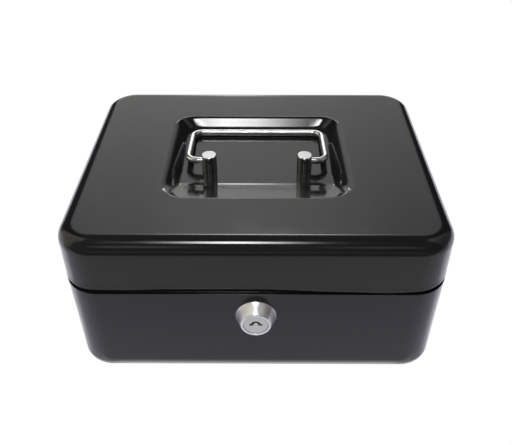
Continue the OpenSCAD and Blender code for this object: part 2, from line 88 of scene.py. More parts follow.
@dataclass(frozen=True)
class Value:
    """One output socket of a shader graph; arithmetic on it adds Math nodes."""

    graph: Graph
    socket: bpy.types.NodeSocket

    def _math(self, operation: str, first: Any, second: Any = None) -> Value:
        """Returns the result of a Math node with one or two operands."""
        operands = [operand for operand in (first, second) if operand is not None]
        return self.graph.node("ShaderNodeMath", {"operation": operation}, dict(enumerate(operands)))

    def __add__(self, other: Any) -> Value:
        """Returns self + other."""
        return self._math("ADD", self, other)

    __radd__ = __add__

    def __sub__(self, other: Any) -> Value:
        """Returns self - other."""
        return self._math("SUBTRACT", self, other)

    def __rsub__(self, other: Any) -> Value:
        """Returns other - self."""
        return self._math("SUBTRACT", other, self)

    def __mul__(self, other: Any) -> Value:
        """Returns self * other."""
        return self._math("MULTIPLY", self, other)

    __rmul__ = __mul__

    def __truediv__(self, other: Any) -> Value:
        """Returns self / other."""
        return self._math("DIVIDE", self, other)

    def atan2(self, other: Any) -> Value:
        """Returns the angle of the point (other, self), in radians."""
        return self._math("ARCTAN2", self, other)

    def size(self) -> Value:
        """Returns self without its sign."""
        return self._math("ABSOLUTE", self)

    def at_most(self, limit: float) -> Value:
        """Returns self, or the limit where self is more."""
        return self._math("MINIMUM", self, limit)

    def bell(self, middle: float, spread: float) -> Value:
        """Returns a bell curve of self, 1 at its middle and 0.61 one spread away from it."""
        away = (self - middle) / spread
        return self._math("EXPONENT", away * away * -0.5)

    def band(self, low: float, high: float, soft: float) -> Value:
        """Returns 1 between low and high, and 0 beyond their soft edges."""
        return self.ramp(low - soft, low + soft) * (1 - self.ramp(high - soft, high + soft))

    def ramp(self, low: float, high: float) -> Value:
        """Returns a value that rises smoothly from 0 at low to 1 at high."""
        sockets = {0: self, 1: low, 2: high, 3: 0.0, 4: 1.0}
        return self.graph.node("ShaderNodeMapRange", {"interpolation_type": "SMOOTHSTEP"}, sockets)


class Graph:
    """A shader node tree and the one method that adds nodes to it."""

    def __init__(self, tree: bpy.types.NodeTree) -> None:
        """Empties the node tree of a material or world."""
        self.tree = tree
        tree.nodes.clear()

    def node(
        self,
        kind: str,
        settings: dict[str, Any] | None = None,
        sockets: dict[Any, Any] | None = None,
        output: int | str = 0,
    ) -> Value:
        """Adds a node.

        Args:
            kind: the node's type.
            settings: properties, set first; "stops" fills a colour ramp.
            sockets: inputs by place or name, each a constant or a Value to link.
            output: which output to return, by place or name.

        Returns:
            The chosen output.
        """
        node = self.tree.nodes.new(kind)
        for name, value in (settings or {}).items():
            if name == "stops":
                self._fill_ramp(node.color_ramp, value)
            else:
                setattr(node, name, value)
        for key, value in (sockets or {}).items():
            if isinstance(value, Value):
                self.tree.links.new(value.socket, node.inputs[key])
            else:
                node.inputs[key].default_value = value
        socket = node.outputs[output] if len(node.outputs) else None
        return Value(self, socket)

    @staticmethod
    def _fill_ramp(ramp: bpy.types.ColorRamp, stops: Stops) -> None:
        """Sets a colour ramp's stops.

        Args:
            ramp: the ramp, with its two stock stops.
            stops: place and colour of each stop, in order.
        """
        while len(ramp.elements) < len(stops):
            ramp.elements.new(1.0)
        for element, (place, colour) in zip(ramp.elements, stops):
            element.position = place
            element.color = (*colour, 1.0)

    def mix(self, factor: Any, low: Any, high: Any) -> Value:
        """Returns a blend of two colours: low at factor 0 and high at factor 1."""
        return self.node("ShaderNodeMix", {"data_type": "RGBA"}, {0: factor, 6: low, 7: high}, 2)

    def gradient(self, stops: Stops, where: Value) -> Value:
        """Returns the colour of a ramp with these stops at a place from 0 to 1."""
        return self.node("ShaderNodeValToRGB", {"stops": stops}, {"Fac": where}, "Color")

    def parts(self, vector: Value) -> list[Value]:
        """Returns a vector's three parts."""
        return [self.node("ShaderNodeSeparateXYZ", None, {0: vector}, i) for i in range(3)]

    def place(self, stretch: Sequence[float] = (1.0, 1.0, 1.0)) -> Value:
        """Returns the piece's own coordinates in metres, scaled along each axis by stretch."""
        here = self.node("ShaderNodeTexCoord", output="Object")
        return self.node("ShaderNodeVectorMath", {"operation": "MULTIPLY"}, {0: here, 1: stretch})

    def noise(self, where: Value, per_metre: float, detail: float = 2.0, rough: float = 0.5) -> Value:
        """Returns noise about 0.5, with detail octaves whose share falls by rough each time."""
        sockets = {"Vector": where, "Scale": per_metre, "Detail": detail, "Roughness": rough}
        return self.node("ShaderNodeTexNoise", None, sockets, "Fac")

    def cells(self, where: Value, per_metre: float) -> Value:
        """Returns the distance to the nearest of the points scattered per_metre, in cell sizes."""
        sockets = {"Vector": where, "Scale": per_metre}
        return self.node("ShaderNodeTexVoronoi", None, sockets, "Distance")

    def bump(self, height: Value, depth: float, normal: Value | None = None) -> Value:
        """Returns the surface's normal, or the one given, with relief of a depth in metres."""
        sockets = {"Distance": depth, "Height": height} | ({"Normal": normal} if normal else {})
        return self.node("ShaderNodeBump", None, sockets, "Normal")

    def principled(self, sockets: dict[str, Any]) -> None:
        """Ends a material with one Principled shader that has these sockets."""
        shader = self.node("ShaderNodeBsdfPrincipled", None, sockets)
        self.node("ShaderNodeOutputMaterial", None, {"Surface": shader})


def grey(level: float) -> tuple[float, float, float, float]:
    """Returns an opaque neutral colour."""
    return (level, level, level, 1.0)


def opaque(colour: Sequence[float]) -> tuple[float, float, float, float]:
    """Returns a colour with full alpha."""
    return (colour[0], colour[1], colour[2], 1.0)


# ---- finishes


@dataclass(frozen=True)
class Finish:
    """A surface finish that turns into one material, made once."""

    label: str
    slot: Slot

    def shade(self, graph: Graph) -> None:
        """Fills a material's empty graph with this finish."""
        raise NotImplementedError

    def material(self) -> bpy.types.Material:
        """Makes this finish's material at first use.

        Returns:
            The material.
        """
        made = bpy.data.materials.get(self.label)
        if made is None:
            made = bpy.data.materials.new(self.label)
            made.use_nodes = True
            self.shade(Graph(made.node_tree))
        return made


@dataclass(frozen=True)
class GlossEnamel(Finish):
    """Black stove enamel on sheet steel: faint orange peel, smudges and a little dust."""

    colour: Triple = (0.0105, 0.0105, 0.0115)
    roughness: float = 0.09
    index: float = 1.5
    smudge: float = 0.05
    smudges_per_metre: float = 38.0
    smudge_range: Pair = (0.42, 0.75)
    mottle: float = 0.02
    mottle_per_metre: float = 900.0
    peel_per_metre: float = 650.0
    peel_depth: float = 1.1e-6
    sway_per_metre: float = 55.0
    sway_depth: float = 1.6e-5
    dust_per_metre: float = 700.0
    dust_size: Pair = (0.03, 0.09)
    dust_patches: float = 90.0
    dust_range: Pair = (0.55, 0.8)
    dust_colour: Triple = (0.05, 0.05, 0.048)

    def shade(self, graph: Graph) -> None:
        """Fills the graph with gloss enamel.

        Args:
            graph: the material's empty graph.
        """
        where = graph.place()
        smudges = graph.noise(where, self.smudges_per_metre, detail=3.0).ramp(*self.smudge_range)
        mottle = graph.noise(where, self.mottle_per_metre)
        speck = 1 - graph.cells(where, self.dust_per_metre).ramp(*self.dust_size)
        patch = graph.noise(where, self.dust_patches).ramp(*self.dust_range)
        colour = graph.mix(speck * patch, opaque(self.colour), opaque(self.dust_colour))
        sway = graph.bump(graph.noise(where, self.sway_per_metre, detail=0.0), self.sway_depth)
        peel = graph.bump(graph.noise(where, self.peel_per_metre, detail=1.0), self.peel_depth, sway)
        graph.principled({
            "Base Color": colour,
            "Roughness": self.roughness + smudges * self.smudge + mottle * self.mottle,
            "IOR": self.index,
            "Normal": peel,
        })


@dataclass(frozen=True)
class PlatedMetal(Finish):
    """Plated or bare metal with a turned or drawn grain and faint stains."""

    colour: Triple = (0.66, 0.66, 0.665)
    stain: Triple = (0.52, 0.51, 0.49)
    stain_share: float = 0.35
    stains_per_metre: float = 160.0
    stain_range: Pair = (0.4, 0.72)
    roughness: float = 0.12
    roughness_spread: float = 0.1
    grain_per_metre: float = 900.0
    grain_stretch: Triple = (1.0, 1.0, 1.0)
    grain_depth: float = 1.5e-6

    def shade(self, graph: Graph) -> None:
        """Fills the graph with plated metal.

        Args:
            graph: the material's empty graph.
        """
        where = graph.place()
        along = graph.place(self.grain_stretch)
        blotch = graph.noise(where, self.stains_per_metre, detail=3.0).ramp(*self.stain_range)
        grain = graph.noise(along, self.grain_per_metre, detail=3.0, rough=0.6)
        colour = graph.mix(blotch * self.stain_share, opaque(self.colour), opaque(self.stain))
        graph.principled({
            "Base Color": colour,
            "Metallic": 1.0,
            "Roughness": self.roughness + grain * self.roughness_spread,
            "Normal": graph.bump(grain, self.grain_depth),
        })


@dataclass(frozen=True)
class MouldedPlastic(Finish):
    """Matt black moulded plastic with a spark-eroded grain."""

    colour: Triple = (0.022, 0.022, 0.023)
    worn: Triple = (0.035, 0.035, 0.036)
    rubs_per_metre: float = 70.0
    rub_range: Pair = (0.45, 0.7)
    rub_polish: float = 0.08
    roughness: float = 0.48
    grain_per_metre: float = 1500.0
    grain_depth: float = 4e-5

    def shade(self, graph: Graph) -> None:
        """Fills the graph with moulded plastic.

        Args:
            graph: the material's empty graph.
        """
        where = graph.place()
        grain = graph.cells(where, self.grain_per_metre)
        rub = graph.noise(where, self.rubs_per_metre, detail=4.0).ramp(*self.rub_range)
        graph.principled({
            "Base Color": graph.mix(rub, opaque(self.colour), opaque(self.worn)),
            "Roughness": self.roughness - rub * self.rub_polish,
            "Normal": graph.bump(grain, self.grain_depth),
        })


@dataclass(frozen=True)
class StudioPaper(Finish):
    """White table: white to the camera; in reflections a softer painted reflection gradient with a
    painted highlight strip just in front of the base; the object's faint shadow is kept.
    """

    colour: float = 0.9
    seen_glow: float = 1.06
    front_edge: float = -0.258
    depth: float = 0.2
    # Painted reflection: the table's colour seen only in reflections, along its depth from front_edge:
    # dark beyond the front, brighter and bluish towards the box.
    mirrored: tuple[tuple[float, Triple], ...] = (
        (0.0, (0.1, 0.1, 0.09)), (0.08, (0.1, 0.1, 0.09)), (0.24, (0.6, 0.58, 0.59)),
        (0.55, (0.68, 0.66, 0.67)), (0.72, (0.67, 0.67, 0.82)), (0.9, (0.75, 0.75, 0.87)),
        (1.0, (1.3, 1.3, 1.42)),
    )
    # Painted highlight: a bright strip on the table just in front of the base, shown only in reflections,
    # so the base's lower edge reflects more light.
    painted_highlight_glow: float = 2.9
    painted_highlight_depth: Pair = (-0.083, -0.076)
    painted_highlight_width: Pair = (0.07, 0.098)
    painted_highlight_soft: float = 0.001
    glow_share: float = 0.92

    def shade(self, graph: Graph) -> None:
        """Fills the graph with white studio paper, with its painted reflection and painted highlight.

        Args:
            graph: the material's empty graph.
        """
        path = "ShaderNodeLightPath"
        camera = graph.node(path, output="Is Camera Ray")
        mirrored = graph.node(path, output="Is Glossy Ray")
        through = graph.node(path, output="Is Transmission Ray")
        paper = graph.node("ShaderNodeBsdfDiffuse", None, {"Color": grey(self.colour)})
        x, y, _ = graph.parts(graph.place())
        # Painted highlight: mask of the bright strip in front of the base, seen only in reflections.
        near = y.band(*self.painted_highlight_depth, self.painted_highlight_soft) * (1 - x.size().ramp(*self.painted_highlight_width))
        # Painted reflection: the table's gradient as reflected rays see it.
        soft = graph.gradient(self.mirrored, (y - self.front_edge) / self.depth)
        glow = graph.mix(camera, graph.mix(near, soft, grey(self.painted_highlight_glow)), grey(self.seen_glow))
        white = graph.node("ShaderNodeEmission", None, {"Color": glow, "Strength": 1.0})
        share = (camera + mirrored + through).at_most(1.0) * self.glow_share
        lit = graph.node("ShaderNodeMixShader", None, {0: share, 1: paper, 2: white})
        graph.node("ShaderNodeOutputMaterial", None, {"Surface": lit})


ENAMEL = GlossEnamel("gloss_black_enamel", Slot.ENAMEL)
CHROME_WIRE = PlatedMetal("chromed_wire", Slot.CHROME, roughness=0.16, grain_per_metre=1400.0)
CHROME_TURNED = PlatedMetal(
    "chromed_turning", Slot.CHROME, roughness=0.05, roughness_spread=0.08, grain_depth=6e-7,
    grain_stretch=(1.0, 1.0, 8.0),
)
CHROME_HEAD = PlatedMetal(
    "chromed_lock_head", Slot.CHROME, colour=(0.9, 0.9, 0.9), roughness=0.28,
    roughness_spread=0.1, grain_depth=9e-6, grain_stretch=(0.25, 8.0, 0.25),
)
NICKEL = PlatedMetal(
    "satin_nickel", Slot.NICKEL, colour=(0.87, 0.86, 0.85), stain=(0.74, 0.73, 0.71),
    stain_share=0.6, roughness=0.26, roughness_spread=0.14, grain_depth=5e-6,
)
ZINC = PlatedMetal(
    "bright_zinc", Slot.ZINC, colour=(0.62, 0.64, 0.67), stain=(0.5, 0.5, 0.47),
    roughness=0.24, roughness_spread=0.16, grain_depth=4e-6,
)
BRASS = PlatedMetal(
    "stamped_brass", Slot.BRASS, colour=(0.78, 0.6, 0.3), stain=(0.5, 0.36, 0.18),
    roughness=0.22, roughness_spread=0.12,
)
PLASTIC = MouldedPlastic("matt_black_plastic", Slot.PLASTIC)
PAPER = StudioPaper("studio_paper", Slot.PLASTIC)


# ---- mesh tools

Ring = list[Vector]


def bridged(name: str, rings: Sequence[Ring], closed: bool = False) -> bpy.types.Object:
    """Skins equal rings into one watertight mesh.

    Args:
        name: the piece's name.
        rings: rings of points, all of one length, in order along the surface.
        closed: True joins the last ring to the first; otherwise both end rings get a face.

    Returns:
        The new object, smooth shaded with its sharp edges kept.
    """
    mesh = bpy.data.meshes.new(name)
    built = bmesh.new()
    rows = [[built.verts.new(point) for point in ring] for ring in rings]
    count = len(rings[0])
    pairs = list(zip(rows, rows[1:]))
    if closed:
        pairs.append((rows[-1], rows[0]))
    for low, high in pairs:
        for i in range(count):
            j = (i + 1) % count
            built.faces.new((low[i], low[j], high[j], high[i]))
    if not closed:
        built.faces.new(reversed(rows[0]))
        built.faces.new(rows[-1])
    bmesh.ops.recalc_face_normals(built, faces=built.faces)
    built.to_mesh(mesh)
    built.free()
    piece = bpy.data.objects.new(name, mesh)
    bpy.context.scene.collection.objects.link(piece)
    smooth(piece)
    return piece


def smooth(piece: bpy.types.Object) -> None:
    """Shades a piece smooth and keeps its sharp edges."""
    piece.data.shade_smooth()
    piece.data.set_sharp_from_angle(angle=SHARP_ANGLE)


def lathe(name: str, profile: Sequence[Pair], steps: int, stand: Matrix) -> bpy.types.Object:
    """Turns a profile about an axis.

    Args:
        name: the piece's name.
        profile: (radius, height) points in millimetres; the first and last are flat ends.
        steps: points round the axis.
        stand: places the turned shape, whose axis is Z, in metres.

    Returns:
        The closed turned piece.
    """
    angles = [math.tau * i / steps for i in range(steps)]
    rings = []
    for radius, height in profile:
        ring = [Vector((radius * math.cos(a), radius * math.sin(a), height)) * MM for a in angles]
        rings.append([stand @ point for point in ring])
    return bridged(name, rings)


def arc(centre: Pair, radius: float, start: float, end: float, steps: int) -> list[Pair]:
    """Returns steps + 1 points of an arc from one angle to another, both in degrees."""
    turns = [math.radians(start + (end - start) * i / steps) for i in range(steps + 1)]
    return [(centre[0] + radius * math.cos(t), centre[1] + radius * math.sin(t)) for t in turns]


def carve(piece: bpy.types.Object, cutter: bpy.types.Object) -> None:
    """Cuts one closed shape out of another and removes the cutter.

    Args:
        piece: the shape that stays.
        cutter: the shape that is taken away.
    """
    cut = piece.modifiers.new("cut", "BOOLEAN")
    cut.object = cutter
    cut.operation = "DIFFERENCE"
    cut.solver = "EXACT"
    bpy.context.view_layer.update()
    graph = bpy.context.evaluated_depsgraph_get()
    mesh = bpy.data.meshes.new_from_object(piece.evaluated_get(graph))
    piece.modifiers.clear()
    piece.data = mesh
    bpy.data.objects.remove(cutter)
    smooth(piece)


def soften(piece: bpy.types.Object, width: float, steps: int = 2) -> None:
    """Rounds a piece's sharp edges.

    Args:
        piece: the piece.
        width: width of the rounding, in millimetres.
        steps: facets across the rounding.
    """
    edge = piece.modifiers.new("soft_edges", "BEVEL")
    edge.width = width * MM
    edge.segments = steps
    edge.limit_method = "ANGLE"
    edge.angle_limit = SHARP_ANGLE
    edge.harden_normals = True


class Piece:
    """A new piece that stands for nodes of the frame; its sizes are in millimetres."""

    finish: Finish
    body: Body
    nodes: tuple[str, ...]

    def build(self) -> bpy.types.Object:
        """Returns the new piece, closed, in place and without a finish."""
        raise NotImplementedError

    def dress(self) -> None:
        """Builds the piece, gives it its finish and puts it in place of the frame's plain nodes."""
        piece = self.build()
        piece.data.materials.clear()
        piece.data.materials.append(self.finish.material())
        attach(piece, self.body.value)
        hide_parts(*self.nodes)
        log.info("%s: %d faces, rides on %s", piece.name, len(piece.data.polygons), self.body.value)


# ---- outlines


@dataclass(frozen=True)
class Outline:
    """A rounded rectangle in plan, in millimetres, walked round in equal steps."""

    left: float
    right: float
    front: float
    rear: float
    radius: float
    arc_steps: int = 16
    side_steps: int = 22

    def inset(self, distance: float) -> Outline:
        """Makes a smaller outline inside this one.

        Args:
            distance: how far every side moves in.

        Returns:
            The new outline, with its corners about the same centres.
        """
        return Outline(
            self.left + distance, self.right - distance, self.front + distance,
            self.rear - distance, self.radius - distance, self.arc_steps, self.side_steps,
        )

    def level(self, inset: float, height: float) -> Ring:
        """Returns the ring that stands in by inset from the outline, at a height."""
        return [Vector((plan.x, plan.y, height)) for plan, _ in self.inset(inset).walk()]

    def walk(self) -> list[tuple[Vector, Vector]]:
        """Walks round the outline.

        Returns:
            A point and its outward direction for each step, from the right side's rear end round.
        """
        r = self.radius
        corners = [
            (self.right - r, self.rear - r), (self.left + r, self.rear - r),
            (self.left + r, self.front + r), (self.right - r, self.front + r),
        ]
        found: list[tuple[Vector, Vector]] = []
        for quarter, centre in enumerate(corners):
            for step in range(self.arc_steps + 1):
                turn = math.radians(90 * quarter + 90 * step / self.arc_steps)
                out = Vector((math.cos(turn), math.sin(turn)))
                found.append((Vector(centre) + r * out, out))
            end, out = found[-1]
            following = corners[(quarter + 1) % 4]
            start = Vector(following) + r * out
            for step in range(1, self.side_steps):
                found.append((end.lerp(start, step / self.side_steps), out.copy()))
        return found


def shelled(rings: Sequence[Ring], thickness: float) -> list[Ring]:
    """Offsets a skin to its other side.

    Args:
        rings: the skin's outer rings, in order.
        thickness: distance, in millimetres; the offset goes to the left of the walk.

    Returns:
        As many rings, each point moved along the skin's own normal.
    """
    count = len(rings[0])
    moved = []
    for j, ring in enumerate(rings):
        before = rings[max(j - 1, 0)]
        after = rings[min(j + 1, len(rings) - 1)]
        inner = []
        for i in range(count):
            along = after[i] - before[i]
            around = ring[(i + 1) % count] - ring[i - 1]
            normal = around.cross(along).normalized()
            inner.append(ring[i] + normal * thickness)
        moved.append(inner)
    return moved


def metres(rings: Sequence[Ring]) -> list[Ring]:
    """Returns the rings, given in millimetres, in metres."""
    return [[point * MM for point in ring] for ring in rings]


# ---- shells


@dataclass
class PressedLid(Piece):
    """The lid: one pressed sheet with a sloping handle recess, a rounded edge and a skirt."""

    finish = ENAMEL
    body = Body.LID
    nodes = ("lid_shell", "handle_recess")

    edge_radius: float = 8.0
    corner_radius: float = 19.2
    draft: float = 0.55
    lip: float = 0.12
    lip_height: float = 1.5
    hem_radius: float = 0.42
    bow: tuple[Pair, ...] = (
        (-97.0, 0.0), (-66.0, -0.3), (-37.0, 0.75), (-6.0, 1.1), (14.0, 0.2),
        (38.0, -1.05), (67.0, -1.9), (97.0, 0.0),
    )
    recess_depth: float = 6.0
    rim: Outline = Outline(-50.0, 50.0, -42.6, 43.1, 9.5)
    floor: Outline = Outline(-43.0, 43.0, -22.0, 36.7, 5.5)
    front_run: float = 7.0
    corner_blends: Pair = (11.0, 15.5)
    rim_blends: Triple = (2.3, 1.15, 0.12)
    rim_corner_loss: float = 3.5
    foot_blends: Triple = (1.1, 2.6, 0.2)
    foot_start: float = 3.0
    crease_blend: float = 0.9
    blend_reach: float = 3.3
    blend_steps: int = 7
    blend_power: float = 1.6
    slope_steps: int = 5
    support: float = 0.3
    fillet_steps: int = 16
    hem_steps: int = 4
    sill_shares: Pair = (0.3, 0.65)
    skirt_shares: tuple[float, ...] = (
        0.985, 0.85, 0.7, 0.55, 0.4, 0.25, 0.15, 0.1, 0.06, 0.035, 0.02,
    )

    def __post_init__(self) -> None:
        """Reads the outer size from the frame."""
        low, high = (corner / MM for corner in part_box("lid_shell"))
        self.outer = Outline(low.x, high.x, low.y, high.y, self.corner_radius)
        self.bottom = low.z
        self.top = high.z

    @staticmethod
    def _by_side(sizes: Triple, out: Vector) -> float:
        """Mixes the side, rear and front sizes for one outward direction in plan."""
        side, rear, front = sizes
        return side * out.x ** 2 + (rear if out.y > 0 else front) * out.y ** 2

    @staticmethod
    def _joined(low: float, high: float, blend: float) -> float:
        """Returns the higher of two heights, rounded where they are within blend of each other."""
        near = max(0.0, blend - abs(low - high)) / max(blend, 1e-6)
        return max(low, high) + near * near * blend / 4

    def _depth_in(self, plan: Vector) -> float:
        """Measures how far inside the recess's rim a point lies.

        Args:
            plan: the point in plan.

        Returns:
            The distance, less than 0 outside the rim.
        """
        rim = self.rim
        across = abs(plan.x - (rim.left + rim.right) / 2) - (rim.right - rim.left) / 2
        along = abs(plan.y - (rim.front + rim.rear) / 2) - (rim.rear - rim.front) / 2
        return -self._joined(across, along, self.corner_blends[0 if plan.y > 0 else 1])

    def _height(self, plan: Vector, out: Vector) -> float:
        """Returns the sheet's height in and round the recess.

        Args:
            plan: the point in plan.
            out: outward direction of the nearest part of the rim.

        Returns:
            The height.
        """
        floor = self.top - self.recess_depth
        inside = self._depth_in(plan)
        runs = (self.rim.right - self.floor.right, self.rim.rear - self.floor.rear, self.front_run)
        wall = self.top - self.recess_depth * inside / self._by_side(runs, out)
        fall = (plan.y - self.rim.front) / (self.floor.front - self.rim.front)
        ramp = self.top - self.recess_depth * fall
        low = self._joined(ramp, floor, self.crease_blend)
        share = max(0.0, min(1.0, inside / self.foot_start))
        inner = self._joined(low, wall, self._by_side(self.foot_blends, out) * share)
        edge = self._by_side(self.rim_blends, out) * (1 - self.rim_corner_loss * (out.x * out.y) ** 2)
        return -self._joined(-inner, -self.top, edge)

    def _recess(self, foot: Vector, brow: Vector, out: Vector) -> list[Vector]:
        """Draws one section from the recess's floor up to the lid's top.

        Args:
            foot: point of the floor's outline.
            brow: point of the rim's outline.
            out: outward direction of the outline there.

        Returns:
            Points of the section.
        """
        across = (brow - foot).normalized()
        length = (brow - foot).length
        reach = self.blend_reach
        near = min(reach, length / 2)
        far = length - near
        shares = [(k / self.blend_steps) ** self.blend_power for k in range(self.blend_steps, -1, -1)]
        stops = [-reach - self.support] + [-reach * share for share in shares]
        stops += [near * share for share in reversed(shares[:-1])]
        stops += [near + (far - near) * k / self.slope_steps for k in range(1, self.slope_steps)]
        stops += [length - (length - far) * share for share in shares]
        stops += [length + reach * share for share in reversed(shares[:-1])]
        stops.append(length + reach + self.support)
        section = []
        for stop in stops:
            beyond = min(0.0, stop) + max(0.0, stop - length)
            plan = foot + across * max(0.0, min(length, stop)) + out * beyond
            section.append(Vector((plan.x, plan.y, self._height(plan, out))))
        for point in section[:2]:
            point.z = self.top - self.recess_depth
        for point in section[-2:]:
            point.z = self.top
        return section

    def _flank(self) -> list[Pair]:
        """Draws the rounded edge and the skirt, which leans in from a small lip at its foot.

        Returns:
            (inset, height) points, from the top down.
        """
        flank, start = self.top - self.edge_radius, self.draft + self.edge_radius
        span = flank - self.bottom
        points = [(start + self.support, self.top)]
        points += arc((start, flank), self.edge_radius, 90, 180, self.fillet_steps)
        for share in self.skirt_shares:
            lip = self.lip if span * share > self.lip_height else 0.0
            points.append((lip + (self.draft - self.lip) * share, self.bottom + span * share))
        return points

    def _hem(self) -> list[Pair]:
        """Returns the rounded lower edge of the sheet as (inset, height) points."""
        radius = self.hem_radius
        return arc((radius, self.bottom + radius), radius, 180, 270, self.hem_steps)[1:]

    def _bowed(self, ring: Ring) -> Ring:
        """Bends the lower skirt along the front, where the pressing has sprung back.

        Args:
            ring: a ring of the lid.

        Returns:
            The ring, bent.
        """
        flank = self.top - self.edge_radius
        bent = []
        for point in ring:
            share = max(0.0, (flank - point.z) / (flank - self.bottom))
            front = 1.0 if point.y < self.outer.front / 2 else 0.0
            bent.append(point + Vector((0, 0, self._lift(point.x) * front * share ** 2)))
        return bent

    def _lift(self, across: float) -> float:
        """Reads the bow's table with smooth steps between its points.

        Args:
            across: distance to the right of the front edge's middle.

        Returns:
            How far the edge is lifted there.
        """
        for (left, low), (right, high) in zip(self.bow, self.bow[1:]):
            if left <= across < right:
                share = (across - left) / (right - left)
                return low + (high - low) * share * share * (3 - 2 * share)
        return 0.0

    def build(self) -> bpy.types.Object:
        """Builds the lid's sheet.

        Returns:
            The lid as one closed piece.
        """
        feet, brows = self.floor.walk(), self.rim.walk()
        sections = [self._recess(foot, brow, out) for (foot, _), (brow, out) in zip(feet, brows)]
        recess = [list(ring) for ring in zip(*sections)]
        flank = [self.outer.level(*point) for point in self._flank()]
        sill = [[a.lerp(b, share) for a, b in zip(recess[-1], flank[0])] for share in self.sill_shares]
        skin = recess + sill + flank
        hem = [self.outer.level(*point) for point in self._hem()]
        rings = [self._bowed(ring) for ring in skin + hem + shelled(skin, SHEET)[::-1]]
        return bridged("lid_sheet", metres(rings))


@dataclass
class FoldedBase(Piece):
    """The base: a drawn steel tray whose wall steps in below an upstand."""

    finish = ENAMEL
    body = Body.BASE
    nodes = ("base_shell",)

    corner_radius: float = 19.1
    edge_radius: float = 3.0
    foot_round: float = 0.3
    foot_inset: float = 0.82
    foot_angle: float = 194.0
    foot_blend: float = 2.0
    foot_height: float = 2.75
    seam: float = 3.2
    step: float = 1.9
    shoulder_round: float = 0.15
    root_round: float = 0.3
    support: float = 0.3
    floor_inset: float = 9.0
    hole_play: float = 0.1
    hole_reach: float = 3.0
    hole_steps: int = 72
    wave: float = 0.12
    wave_end: float = 90.0
    wave_scales: Pair = (23.0, 11.0)
    wave_start: float = 0.7
    wave_sway: float = 0.4
    wall_shares: tuple[float, ...] = (0.01, 0.1, 0.25, 0.4, 0.55, 0.7, 0.85, 0.97, 0.99)

    def __post_init__(self) -> None:
        """Reads the outer size from the frame."""
        low, high = (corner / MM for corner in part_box("base_shell"))
        self.outer = Outline(low.x, high.x, low.y, high.y, self.corner_radius)
        self.top = high.z
        self.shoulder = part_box("lid_shell")[0].z / MM - self.seam

    def _outside(self) -> list[Pair]:
        """Draws the outer skin.

        Returns:
            (inset, height) points, from the underside to the upstand.
        """
        edge, ledge, root = self.foot_height, self.shoulder_round, self.root_round
        points = [(self.floor_inset, 0.0), (self.foot_inset + self.support, 0.0)]
        points += arc((self.foot_inset, self.foot_round), self.foot_round, 270, self.foot_angle, 5)
        points += arc((self.foot_blend, edge), self.foot_blend, self.foot_angle, 180, 5)
        span = self.shoulder - ledge - edge
        points += [(0.0, edge + span * share) for share in self.wall_shares]
        points += arc((ledge, self.shoulder - ledge), ledge, 180, 90, 5)
        points += arc((self.step - root, self.shoulder + root), root, 270, 360, 3)
        return points + [(self.step, self.shoulder + 1.0), (self.step, self.top - SHEET)]

    def _inside(self) -> list[Pair]:
        """Draws the inner skin.

        Returns:
            (inset, height) points, from the upstand to the floor.
        """
        sheet, root = SHEET, self.root_round
        wall = self.step + sheet
        ledge = self.shoulder - sheet
        points = arc((self.step + sheet / 2, self.top - sheet / 2), sheet / 2, 180, 0, 6)
        points += [(wall, self.top - sheet), (wall, self.shoulder), (wall, ledge + root)]
        points += arc((wall - root, ledge + root), root, 0, -90, 3)[1:]
        points += arc((sheet + root, ledge - root), root, 90, 180, 3)
        points += [(sheet, ledge - 1.0), (sheet, self.edge_radius + self.support)]
        points += arc((self.edge_radius, self.edge_radius), self.edge_radius - sheet, 180, 270, 6)
        return points + [(self.edge_radius + self.support, sheet), (self.floor_inset, sheet)]

    def _waved(self, ring: Ring) -> Ring:
        """Gives the long front wall the slight unevenness of drawn sheet.

        Args:
            ring: a ring of the base.

        Returns:
            The ring, with its front moved in a little.
        """
        moved = []
        for point in ring:
            share = max(0.0, min(1.0, point.z / self.shoulder))
            calm = math.sin(math.pi * share) * max(0.0, 1 - (point.x / self.wave_end) ** 4)
            sway = math.sin(point.x / self.wave_scales[0] + self.wave_start)
            sway *= math.sin(point.z / self.wave_scales[1])
            front = 1.0 if point.y < -self.outer.rear / 2 and point.z < self.shoulder - 1 else 0.0
            depth = self.wave * calm * front * (1 - self.wave_sway + self.wave_sway * sway)
            moved.append(point + Vector((0, depth, 0)))
        return moved

    def build(self) -> bpy.types.Object:
        """Builds the base's sheet with the hole for the lock.

        Returns:
            The base as one closed piece.
        """
        skin = self._outside() + self._inside()
        rings = [self._waved(self.outer.level(*point)) for point in skin]
        sheet = bridged("base_sheet", metres(rings))
        lock = LockHead()
        radius, reach = lock.barrel / 2 + self.hole_play, self.hole_reach
        carve(sheet, lathe("lock_hole", [(radius, -reach), (radius, reach)], self.hole_steps, lock.stand))
        return sheet


# ---- lock


